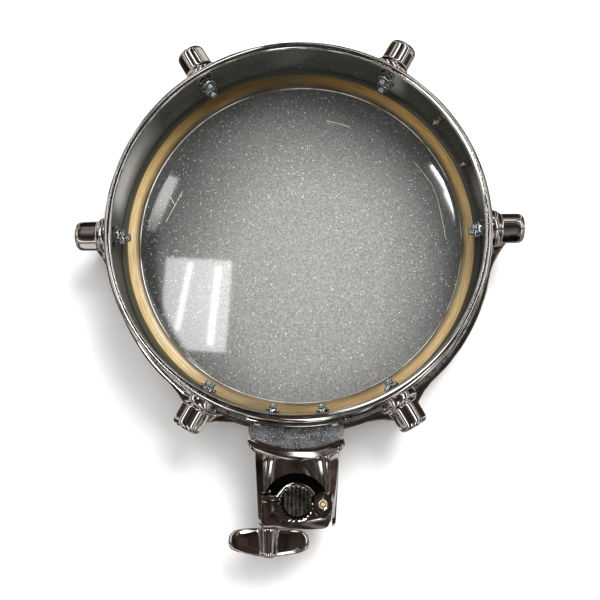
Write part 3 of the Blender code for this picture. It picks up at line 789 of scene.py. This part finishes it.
def washer_mesh(name, inner, outer, start, end, material, standing=False):
    """A ring with chamfered edges, along +X or standing along +Z."""
    edge = (end - start) * 0.25
    profile = [(start, inner + edge), (start, outer - edge), (start + edge, outer), (end - edge, outer),
               (end, outer - edge), (end, inner + edge), (end - edge, inner), (start + edge, inner)]
    rings = turned_rings(profile, 48)
    bm = solid(stand(rings) if standing else rings, closed_loop=True)
    return bare_mesh(mesh_object(name, bm, material, 50))


def make_lugs():
    """Six lugs, each with its two wall bolts, tension rod, rod washer and threaded insert."""
    casting = lug_mesh()
    bolt = wall_bolt_mesh("wall_bolt", shank_end=0.1275)
    rod = rod_mesh()
    washer = washer_mesh("rod_washer", 0.0029, 0.0050, 0.0163, 0.0177, ZINC, True)
    insert = washer_mesh("lug_insert", 0.0029, 0.0040, 0.0315, 0.0460, BRASS, True)
    for n in range(1, 7):
        angle = math.tau * (n - 1) / 6
        lug = linked(f"turret_lug_{n}", casting)
        settle(lug, "drum", "chrome", f"lug_casting_{n}", at=(0, 0, LUG_Z), turn=angle)
        for word, side in (("upper", 1), ("lower", -1)):
            piece = linked(f"wall_bolt_{word}_{n}", bolt)
            place = (0, 0, LUG_Z + side * LUG_BOLT_OFFSET)
            settle(piece, "drum", "zinc", f"lug_bolt_{word}_{n}", at=place, turn=angle)
        place = (ROD_R * math.cos(angle), ROD_R * math.sin(angle), 0)
        key_rod = linked(f"key_rod_{n}", rod)
        settle(key_rod, f"tension_rod_{n}", "chrome", f"tension_rod_{n}", at=place, turn=angle)
        settle(linked(f"rod_washer_ring_{n}", washer), "drum", "zinc", f"rod_washer_{n}", at=place)
        settle(linked(f"lug_insert_barrel_{n}", insert), "drum", "brass", f"lug_insert_{n}", at=place)


def arc_outline(inner, outer, half_angle, steps=24):
    outline = []
    for radius, order in ((inner, range(steps + 1)), (outer, range(steps, -1, -1))):
        for step in order:
            angle = half_angle * (2 * step / steps - 1)
            outline.append((radius * math.cos(angle), radius * math.sin(angle)))
    return outline


def pan_screw_mesh(name, seat, head_radius, height, shank_to):
    """Domed screw head with a cross recess, facing away from the drum's axis."""
    dome = ((0.0, 1.0), (0.35, 1.0), (0.7, 0.86), (0.93, 0.55), (1.0, 0.2))
    sections = [(shank_to, head_radius * 0.45), (seat, head_radius * 0.45)]
    sections += [(seat + height * up, head_radius * out) for up, out in dome]
    made = mesh_object(name, solid(turned_rings(sections, 36)), ZINC, 40)
    for across, upward in ((0.55, 0.13), (0.13, 0.55)):
        y, z = head_radius * across, head_radius * upward
        corners = [(-y, -z), (y, -z), (y, z), (-y, z)]
        ends = seat + height * 0.45, seat + height * 2
        boolean(made, [[(x, *corner) for corner in corners] for x in ends])
    return bare_mesh(made)


def make_badge():
    """Blank curved plate outside the wall, with its two small screws and their nuts inside."""
    low, high = BADGE_Z - 0.0088, BADGE_Z + 0.0088
    outline = arc_outline(0.1274, 0.1284, math.radians(10.8))
    rings = slab_rings(outline, [low, low + 0.0004, high - 0.0004, high], 0.004)
    badge = mesh_object("badge_plate_blank", solid(rings), CHROME, 40)
    settle(badge, "drum", "chrome", "badge_plate", turn=BADGE_ANGLE)
    nut = wall_bolt_mesh("small_wall_nut", 0.62, 0.1251)
    nut.transform(Matrix.Diagonal((1.0, 0.8, 0.8, 1.0)))
    nut.materials[0] = DULL_SCREW
    head = pan_screw_mesh("badge_screw_head", 0.1286, 0.0030, 0.0014, 0.1262)
    for word, side in (("right", -1), ("left", 1)):
        angle = BADGE_ANGLE + side * BADGE_SCREW_ANGLE
        inside = linked(f"badge_nut_{word}", nut)
        settle(inside, "drum", "zinc", f"badge_screw_{word}", at=(0, 0, BADGE_Z), turn=angle)
        settle(linked(f"badge_screw_head_{word}", head), "drum", "zinc", at=(0, 0, BADGE_Z), turn=angle)


# -------- clamp bracket

def gasket_face(y, offset=0.0):
    """How far out the gasket's bowed face stands at one place across the bracket."""
    return 0.1432 + offset - 0.0075 * (y / 0.0312) ** 2


def bowed_outline(back, front_offset, half_width, corner=0.0, steps=44):
    """An outline between back(y) and the bowed face, its four corners rounded."""
    front_side, back_side = [], []
    for step in range(steps + 1):
        y = half_width * math.sin(math.pi / 2 * (2 * step / steps - 1))
        into = max(0.0, abs(y) - (half_width - corner)) / corner if corner else 0.0
        pull = corner * (1 - math.sqrt(max(0.0, 1 - into * into)))
        front_side.append((gasket_face(y, front_offset) - pull, y))
        back_side.append((back(y) + pull, y))
    return list(reversed(back_side)) + front_side


def make_mounting():
    """Curved plate on the shell, rubber gasket with a bowed face, the bolt ends and the plate's screws."""
    outline = arc_outline(0.1274, PLATE_R, math.radians(14.4))
    rings = slab_rings(outline, [0.0216, 0.0220, 0.0566, 0.0570], 0.003)
    plate = mesh_object("mount_plate_curved", solid(rings), RIM_CHROME, 40)
    soften(plate, 0.0003)
    settle(plate, "drum", "chrome", "mount_plate", turn=BRACKET_ANGLE)
    outline = bowed_outline(lambda y: math.sqrt((PLATE_R + 0.0004) ** 2 - y ** 2), 0.0, 0.0305, 0.0038)
    gasket = mesh_object("bracket_gasket_rubber", solid(slab_rings(outline, [0.0213, 0.0500])), RUBBER, 40)
    soften(gasket, 0.0009, 3)
    settle(gasket, "drum", "rubber", "bracket_gasket", turn=BRACKET_ANGLE)
    bolt = wall_bolt_mesh("mount_bolt", shank_end=0.1275)
    head = pan_screw_mesh("plate_screw_head", PLATE_R + 0.0004, 0.0026, 0.0016, 0.1280)
    for word, side in (("left", -1), ("right", 1)):
        angle = BRACKET_ANGLE + side * MOUNT_BOLT_ANGLE
        end = linked(f"mount_bolt_end_{word}", bolt)
        settle(end, "drum", "zinc", f"mount_bolt_{word}", at=(0, 0, BRACKET_Z), turn=angle)
        angle = BRACKET_ANGLE + side * PLATE_SCREW_ANGLE
        screw = linked(f"plate_screw_head_{word}", head)
        settle(screw, "drum", "zinc", f"plate_screw_{word}", at=(0, 0, 0.0535), turn=angle)


def barrel_ring(along, half_width, half_height, points=96, power=2.6):
    """A rounded rectangle across the bracket."""
    ring = []
    for step in range(points):
        angle = math.tau * step / points
        c, s = math.cos(angle), math.sin(angle)
        y = math.copysign(abs(c) ** (2 / power), c) * half_width
        z = math.copysign(abs(s) ** (2 / power), s) * half_height
        ring.append((along, y, BRACKET_Z + z))
    return ring


def in_pocket(centre):
    """True on the walls and floor of the clamp's pocket."""
    if centre.z < POCKET_FLOOR - 0.0004 or centre.z > 0.0515:
        return False
    near_arch = math.hypot(centre.x - ARCH_V, centre.y) < ARCH_R + 0.0002 and centre.x > 0.1570
    on_front = centre.x > POCKET_BACK - 0.0004 and abs(centre.z - POCKET_FLOOR) < 0.0006
    return near_arch or on_front or abs(centre.x - POCKET_BACK) < 0.0004


def flange_rings():
    """The flange's bowed outline, drawn in towards its top and bottom edges."""
    low, high = BRACKET_Z - 0.0190, BRACKET_Z + 0.0190
    rings = []
    for offset, z, narrow in ((0.0040, low, 0.0008), (0.0062, low + 0.0010, 0.0002),
                              (0.0072, low + 0.0030, 0.0), (0.0072, high - 0.0034, 0.0),
                              (0.0064, high - 0.0014, 0.0002), (0.0042, high, 0.0008)):
        corner = (offset + 0.0010) * 0.48
        outline = bowed_outline(lambda y: gasket_face(y, -0.0010), offset, 0.0311 - narrow, corner)
        rings.append([(x, y, z) for x, y in outline])
    return rings


def make_body():
    """Cast body: rounded flange on the gasket, tapering barrel, and the open pocket for the clamp."""
    sections = [(0.1400, 0.0277, 0.0168), (0.1520, 0.0272, 0.0168), (0.1700, 0.0262, 0.0168),
                (0.1860, 0.0253, 0.0164), (0.1896, 0.0251, 0.0160), (0.1910, 0.0247, 0.0155),
                (0.1917, 0.0240, 0.0148)]
    barrel = [barrel_ring(*section) for section in sections]
    body = mesh_object("bracket_body_cast", solid(barrel), CHROME, 40)
    boolean(body, flange_rings(), "UNION")
    behind = bowed_outline(lambda y: 0.1200, 0.0003, 0.0352)
    boolean(body, slab_rings(behind, (0.0, 0.070)))
    boolean(body, cylinder_rings((ARCH_V, 0, POCKET_FLOOR), (ARCH_V, 0, 0.060), ARCH_R, 96))
    half = 0.0226
    front = [(POCKET_BACK, -half), (0.2000, -half), (0.2000, half), (POCKET_BACK, half)]
    boolean(body, slab_rings(front, (POCKET_FLOOR, 0.060)))
    soften(body, 0.0007, 3, 35)
    # The pocket's walls and floor take the nearly black painted shade.
    body.data.materials.append(POCKET_SHADE)
    for face in body.data.polygons:
        if in_pocket(face.center):
            face.material_index = 1
    settle(body, "drum", "chrome", "bracket_body", turn=BRACKET_ANGLE)


def socket_arc(start_deg, end_deg, teeth, depth=0.0012):
    """The toothed wall of the arm socket: rounded ridges between pointed grooves."""
    points = []
    steps = teeth * 4
    for step in range(steps + 1):
        angle = math.radians(start_deg + (end_deg - start_deg) * step / steps)
        wave = abs(math.sin(math.pi * step / 4))
        radius = SOCKET_R + depth * wave
        points.append((SOCKET_V - radius * math.sin(angle), radius * math.cos(angle)))
    return points


def make_saddle():
    """Fixed toothed half of the socket with its tab."""
    back = []
    for step in range(25):
        angle = math.radians(158 - 132 * step / 24)
        back.append((SOCKET_V - 0.0132 * math.sin(angle), 0.0132 * math.cos(angle)))
    tab = [(0.1757, -0.0221), (0.1724, -0.0221)]
    rings = slab_rings(socket_arc(26, 170, 10) + tab + back, [POCKET_FLOOR + 0.0003, JAW_TOP])
    saddle = mesh_object("clamp_saddle_toothed", solid(rings), CHROME, 40)
    soften(saddle, 0.00025, 2, 60)
    settle(saddle, "drum", "black_metal", "clamp_saddle", turn=BRACKET_ANGLE)


def make_liner():
    """The ribbed pad at the bottom of the socket: a round shape whose top rises and falls in ribs."""
    ribs, steps, edge, radius = 7, 8, 0.0096, 0.0098
    low = POCKET_FLOOR + 0.0002
    rings = []
    for row in range(ribs * steps + 1):
        across = (row / (ribs * steps) * 2 - 1) * edge
        reach = math.sqrt(radius ** 2 - across ** 2)
        lift = POCKET_FLOOR + 0.0006 + 0.0011 * abs(math.sin(math.pi * row / steps))
        near, far = SOCKET_V - reach, SOCKET_V + reach
        rings.append([(near, across, low), (far, across, low), (far, across, lift), (near, across, lift)])
    liner = mesh_object("socket_liner_ribbed", solid(rings), LINER, 40)
    settle(liner, "drum", "black_metal", "socket_liner", turn=BRACKET_ANGLE)


def jaw_outline():
    """The jaw seen from above, before the socket's teeth are cut into it."""
    knuckle = []
    for step in range(25):
        angle = math.radians(200 - 200 * step / 24)
        knuckle.append((SOCKET_V - 0.0056 * math.sin(angle), PIN_U + 0.0053 * math.cos(angle)))
    right = [(0.1880, 0.0216), (0.1915, 0.0204), (0.1930, 0.0170), (0.1935, 0.0080), (0.1930, -0.0050)]
    left = [(0.1912, -0.0115), (0.1912, -0.0205), (0.1895, -0.0222), (0.1764, -0.0222)]
    inside = [(0.1766, -0.0100), (0.1766, 0.0100)]
    return knuckle + rounded(right + left, 0.0022, 5, closed=False) + inside


def knuckle_oval():
    """The raised boss round the hinge pin, a little longer outwards than inwards."""
    oval = []
    for step in range(64):
        angle = math.tau * step / 64
        reach = 0.0090 if math.sin(angle) > 0 else 0.0078
        oval.append((SOCKET_V + reach * math.sin(angle), PIN_U + 0.0062 * math.cos(angle)))
    return oval


def make_jaw():
    """Hinged half of the socket: rounded casting, raised oval knuckle, and its toothed and round holes."""
    rings = slab_rings(jaw_outline(), [POCKET_FLOOR + 0.0005, JAW_TOP])
    jaw = mesh_object("clamp_jaw_cast", solid(rings), CHROME, 40)
    soften(jaw, 0.0014, 4, 50)
    boolean(jaw, slab_rings(knuckle_oval(), [0.0424, 0.0425, 0.0459, 0.0466, 0.0470], 0.05), "UNION")
    low, high = 0.0200, 0.0500
    boolean(jaw, slab_rings(socket_arc(0, 356, 24)[:-1], [low, high]))
    boolean(jaw, cylinder_rings((SOCKET_V, PIN_U, low), (SOCKET_V, PIN_U, high), 0.0029, 40))
    boolean(jaw, cylinder_rings((0.1700, WING_U, WING_Z), (0.2000, WING_U, WING_Z), 0.0045, 40))
    soften(jaw, 0.0003, 2, 55)
    settle(jaw, "clamp_jaw", "chrome", "clamp_jaw", turn=BRACKET_ANGLE)


def make_pin():
    """Brass hinge pin with a rim round a sunken groove."""
    profile = [(0.0150, 0.0025), (0.0473, 0.0028), (0.0478, 0.0026), (0.0478, 0.0021), (0.0460, 0.0020),
               (0.0460, 0.0014), (0.0471, 0.0013), (0.0472, 0.0003)]
    pin = mesh_object("jaw_pin_brass", solid(stand(turned_rings(profile, 40))), BRASS, 40)
    pin.data.transform(Matrix.Translation((SOCKET_V, PIN_U, 0)))
    settle(pin, "drum", "brass", "jaw_hinge_pin", turn=BRACKET_ANGLE)


def make_wing_stud():
    """The threaded stud through the jaw, and the washer under the nut."""
    place = Matrix.Translation((0, WING_U, WING_Z))
    thread = thread_rings(0.1700, 0.2078, 0.0030, 0.0010, 0.0004, 28, 6)
    stud = mesh_object("wing_stud_threaded", solid(thread), ZINC, 30)
    stud.data.transform(place)
    settle(stud, "drum", "zinc", "wing_bolt", turn=BRACKET_ANGLE)
    mesh = washer_mesh("wing_washer_mesh", 0.0034, 0.0055, 0.1915, 0.1929, ZINC)
    washer = linked("wing_washer_flat", mesh)
    washer.data.transform(place)
    settle(washer, "wing_washer", "zinc", "wing_washer", turn=BRACKET_ANGLE)


def wing_rings():
    """Both wings as one rounded outline whose faces are domed."""
    half = [(0.1938, 0.0), (0.1938, 0.0090), (0.1942, 0.0160), (0.1954, 0.0225), (0.1986, 0.0259),
            (0.2040, 0.0262), (0.2072, 0.0248), (0.2094, 0.0190), (0.2114, 0.0080), (0.2121, 0.0)]
    outline = rounded(half + [(x, -y) for x, y in reversed(half[1:-1])], 0.0025, 4)
    centre = Vector((0.2030, 0.0))
    domed = [(0.0006, 1.0), (0.0014, 0.93), (0.0019, 0.78), (0.0021, 0.50)]
    levels = [(-z, share) for z, share in reversed(domed)] + domed
    return [[(*(centre + (Vector(point) - centre) * share), z) for point in outline] for z, share in levels]


def make_wing_nut():
    """Cast wing nut, whose wings swell into the hub."""
    hub = [(0.1934, 0.0055), (0.1936, 0.0061), (0.1950, 0.0062), (0.2030, 0.0057), (0.2095, 0.0053),
           (0.2115, 0.0046), (0.2123, 0.0030)]
    nut = mesh_object("wing_nut_cast", solid(turned_rings(hub, 64)), CHROME, 40)
    boolean(nut, wing_rings(), "UNION")
    remesh = nut.modifiers.new("cast", "REMESH")
    remesh.mode = "VOXEL"
    remesh.voxel_size = 0.00040
    smooth = nut.modifiers.new("smooth", "SMOOTH")
    smooth.factor = 0.5
    smooth.iterations = 12
    apply_modifiers(nut)
    nut.data.shade_smooth()
    nut.data.transform(Matrix.Translation((0, WING_U, WING_Z)))
    nut.data.materials.clear()
    nut.data.materials.append(CHROME)
    settle(nut, "wing_nut", "chrome", "wing_nut", turn=BRACKET_ANGLE)


# -------- stage, light and camera

def make_floor():
    """Plain pale ground, left out of mirror reflections."""
    side, low, high = 3, -0.02, -0.00005
    corners = [(-side, -side), (side, -side), (side, side), (-side, side)]
    made = Shader("floor", (0.90, 0.90, 0.905), 0.0, 0.9)
    made.to("Base Color", made.grey_ramp(made.noise(3), 0.745, 0.765))
    made.bsdf.inputs["Specular IOR Level"].default_value = 0.1
    floor = mesh_object("floor", solid(slab_rings(corners, (low, high))), made.material)
    floor.visible_glossy = False


def room_ceiling(room, parts):
    """A dim banded ceiling with leaning strip lamps, none of them near the middle."""
    reach = room.math("DIVIDE", 1.0, room.math("MAXIMUM", parts["Z"], 0.04))
    across, along = room.math("MULTIPLY", parts["X"], reach), room.math("MULTIPLY", parts["Y"], reach)
    leaning = room.math("ADD", across, room.math("MULTIPLY", along, 0.17))
    strips = room.math("PINGPONG", room.math("ADD", leaning, 0.12), 0.36)
    strips = room.grey_ramp(strips, 1.0, 0.0, (0.045, 0.10))
    ends = room.mask(room.math("PINGPONG", room.math("ADD", along, 0.30), 0.75), 0.10, 0.16)
    away = room.length(room.join(across, along), (1, 1, 1))
    power = [(0.042, BLACK), (0.052, (3.4, 3.4, 3.3)), (0.45, HALF)]
    far = room.ramp(room.math("MULTIPLY", away, 0.1), power)
    rows = room.join(room.math("MULTIPLY", leaning, 3.0), room.math("MULTIPLY", along, 0.3))
    stops = [(0.38, (0.008, 0.007, 0.007)), (0.45, (0.085, 0.052, 0.044)), (0.50, (0.012, 0.010, 0.010)),
             (0.55, (0.060, 0.055, 0.042)), (0.60, (0.34, 0.33, 0.31)), (0.66, (0.010, 0.009, 0.009))]
    dim = room.ramp(room.noise(1.3, 1.5, rows), stops)
    lamps = room.mix(1.0, room.mix(1.0, strips, ends, "MULTIPLY"), far, "MULTIPLY")
    return room.mix(1.0, dim, lamps, "ADD")


def room_walls(room, parts):
    """Upright stripes of black, brown, olive and white all round."""
    flat = room.length(room.position, (1, 1, 0))
    divisor = room.math("MULTIPLY", room.math("MAXIMUM", flat, 0.001), 0.3)
    around = room.join(room.math("DIVIDE", parts["X"], divisor), room.math("DIVIDE", parts["Y"], divisor))
    black, brown, olive = (0.004, 0.004, 0.004), (0.060, 0.036, 0.029), (0.05, 0.045, 0.032)
    pale = (0.9, 0.9, 0.88)
    stops = [(0.36, black), (0.43, brown), (0.50, black), (0.53, olive), (0.58, pale), (0.61, pale),
             (0.64, brown)]
    return room.ramp(room.noise(1.0, 1.5, around), stops)


def make_world():
    """White behind the object; in reflections, a dim warm room with strip lamps and striped walls."""
    world = bpy.data.worlds.new("studio")
    bpy.context.scene.world = world
    world.use_nodes = True
    world.node_tree.nodes.clear()
    room = Nodes(world.node_tree, "Generated")
    parts = room.parts()
    upward = room.mask(room.math("MULTIPLY_ADD", parts["Z"], 0.5, 0.5), 0.60, 0.64)
    surroundings = room.mix(upward, room_walls(room, parts), room_ceiling(room, parts))
    mirrored = room.add("ShaderNodeBackground", {"Color": surroundings, "Strength": 1.0}).outputs[0]
    white = room.add("ShaderNodeBackground", {"Color": WHITE, "Strength": 1.0}).outputs[0]
    seen = room.add("ShaderNodeLightPath").outputs["Is Camera Ray"]
    chosen = room.add("ShaderNodeMixShader", {0: seen, 1: mirrored, 2: white})
    room.add("ShaderNodeOutputWorld", {"Surface": chosen.outputs[0]})


def area_light(name, place, target, size, power, glossy=True):
    data = bpy.data.lights.new(name, "AREA")
    data.shape = "RECTANGLE"
    data.size, data.size_y = size
    data.energy = power
    made = linked(name, data)
    made.location = place
    made.rotation_euler = (Vector(target) - Vector(place)).to_track_quat("-Z", "Y").to_euler()
    made.visible_glossy = glossy
    return made


def make_lights():
    """Two broad lamps that no mirror shows, and the small high panels that the glossy film mirrors."""
    area_light("key_high", (0.65, 1.05, 1.55), (0, 0, 0), (0.9, 0.9), 52, glossy=False)
    area_light("fill_high", (0.3, -0.1, 2.4), (0, 0, 0), (2.8, 2.8), 40, glossy=False)
    lamp_height = 1.5
    lamps = (("lamp_outer", (-0.351, 0.236), (0.015, 0.172), 11.0, 0.13),
             ("lamp_inner", (-0.276, 0.211), (0.015, 0.194), 6.0, 0.16),
             ("lamp_panel", (-0.322, 0.215), (0.165, 0.227), 4.0, 0.92),
             ("lamp_left", (-0.410, 0.470), (0.030, 0.150), 22.0, 0.11),
             ("lamp_right_far", (0.286, 0.522), (0.018, 0.080), -29.0, 0.14),
             ("lamp_right_near", (0.314, 0.446), (0.016, 0.090), -23.0, 0.12))
    for name, (x, y), size, lean, power in lamps:
        lamp = area_light(name, (x, y, lamp_height), (x, y, 0), size, power)
        lamp.rotation_euler = (0, 0, math.radians(-lean))


def make_camera():
    data = bpy.data.cameras.new("camera")
    data.sensor_width = 36.0
    data.lens = 52.05
    data.clip_start, data.clip_end = 0.01, 50
    camera = linked("camera", data)
    camera.location = (0.02639, DRUM.y - 0.13148, LIP_Z + 0.54823)
    camera.rotation_euler = (0.14898, 0.04567, -0.00852)
    bpy.context.scene.camera = camera


make_shell()
make_ring()
make_head()
make_hoop()
make_scratches()
make_lugs()
make_badge()
make_mounting()
make_body()
make_saddle()
make_liner()
make_jaw()
make_pin()
make_wing_stud()
make_wing_nut()
make_floor()
make_world()
make_lights()
make_camera()
bpy.context.scene.view_settings.view_transform = "Standard"
